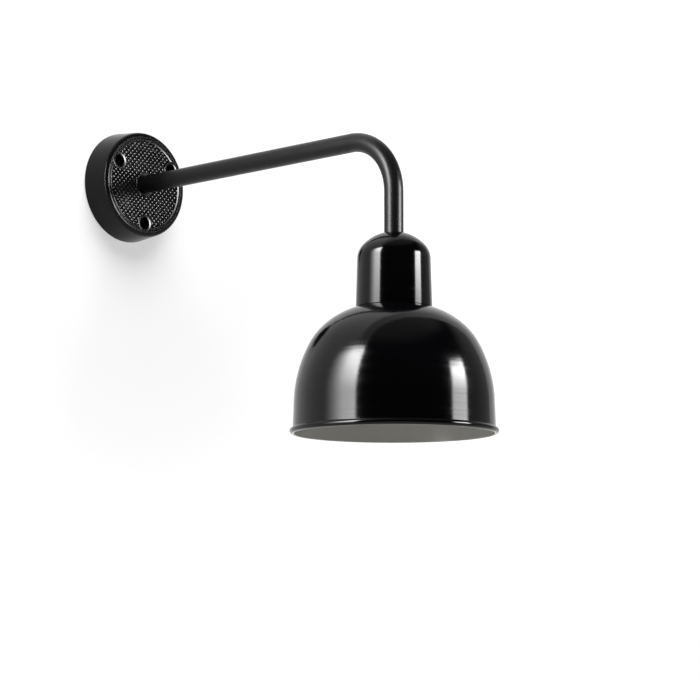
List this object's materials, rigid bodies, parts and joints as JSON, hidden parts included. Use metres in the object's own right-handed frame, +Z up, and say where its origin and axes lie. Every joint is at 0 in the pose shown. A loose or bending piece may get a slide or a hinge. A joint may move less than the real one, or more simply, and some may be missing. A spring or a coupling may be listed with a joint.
{
  "type": "wall sconce",
  "caption": "Wall light with a round cast base, a bent tube arm, a cup neck and a downward enamelled bowl shade over a screw-in lamp.",
  "frame": {"origin": "centre of the wall base's back face, on the wall plane and on the arm's axis", "axes": "+Y into the wall, the arm runs out along -Y, +Z up; the lamp hangs on a vertical axis at the arm's outer end"},
  "size_m": [0.1834, 0.4497, 0.3208],
  "materials": {
    "black_powder_coat": "satin black powder coat on cast and drawn metal",
    "black_gloss_enamel": "high-gloss black stove enamel",
    "shade_enamel": "high-gloss black stove enamel outside, off-white enamel inside",
    "zinc_steel": "zinc-plated steel",
    "brass": "plain brass",
    "nickel_brass": "nickel-plated brass, pressed thread",
    "tinned_copper": "tinned copper",
    "solder": "dull solder",
    "lamp_cap_metal": "pressed aluminium screw cap",
    "black_plastic": "black nylon",
    "natural_nylon": "natural nylon",
    "white_phenolic": "white moulded resin",
    "porcelain": "unglazed porcelain",
    "black_glass": "dark vitreous insulator",
    "opal_glass": "opal white glass",
    "brown_insulation": "brown core insulation",
    "blue_insulation": "blue core insulation",
    "green_yellow_insulation": "green and yellow core insulation"
  },
  "bodies": {
    "fixture": {"wall_base": "black_powder_coat", "arm_tube": "black_powder_coat", "arm_lock_washer": "zinc_steel", "arm_lock_nut": "zinc_steel", "arm_end_bushing": "black_plastic", "terminal_block": "natural_nylon", "terminal_inserts": "brass", "terminal_clamp_screws": "zinc_steel", "terminal_fixing_screws": "zinc_steel", "earth_cup_washer": "brass", "earth_ring_lug": "tinned_copper", "earth_screw": "brass", "wire_live": "brown_insulation", "wire_neutral": "blue_insulation", "wire_earth": "green_yellow_insulation", "arm_end_plug": "zinc_steel", "hollow_nipple": "zinc_steel", "neck_washer": "zinc_steel", "neck_nut": "zinc_steel", "neck_cap": "black_gloss_enamel", "shade_bowl": "shade_enamel", "shade_ring": "white_phenolic", "holder_cap": "white_phenolic", "holder_grub_screw": "zinc_steel", "holder_body": "white_phenolic", "holder_core": "porcelain", "screw_shell": "nickel_brass", "centre_contact": "brass", "contact_rivets": "brass", "holder_terminals": "brass", "holder_terminal_screws": "zinc_steel"},
    "lamp_carrier": {"lamp_tip": "solder"},
    "lamp": {"lamp_insulator": "black_glass", "lamp_cap": "lamp_cap_metal", "lamp_glass": "opal_glass"}
  },
  "joints": [
    {"name": "lamp_travel", "type": "slide", "parent": "fixture", "child": "lamp_carrier", "axis": [0, 0, -1], "range_m": [0, 0.01815]},
    {"name": "lamp_turn", "type": "hinge", "parent": "lamp_carrier", "child": "lamp", "pos_m": [0, -0.358, -0.1432], "axis": [0, 0, -1], "range_deg": [0, 1800]}
  ],
  "couplings": [
    {"joint": "lamp_travel", "follows": "lamp_turn", "m_per_rad": 0.00057757}
  ]
}
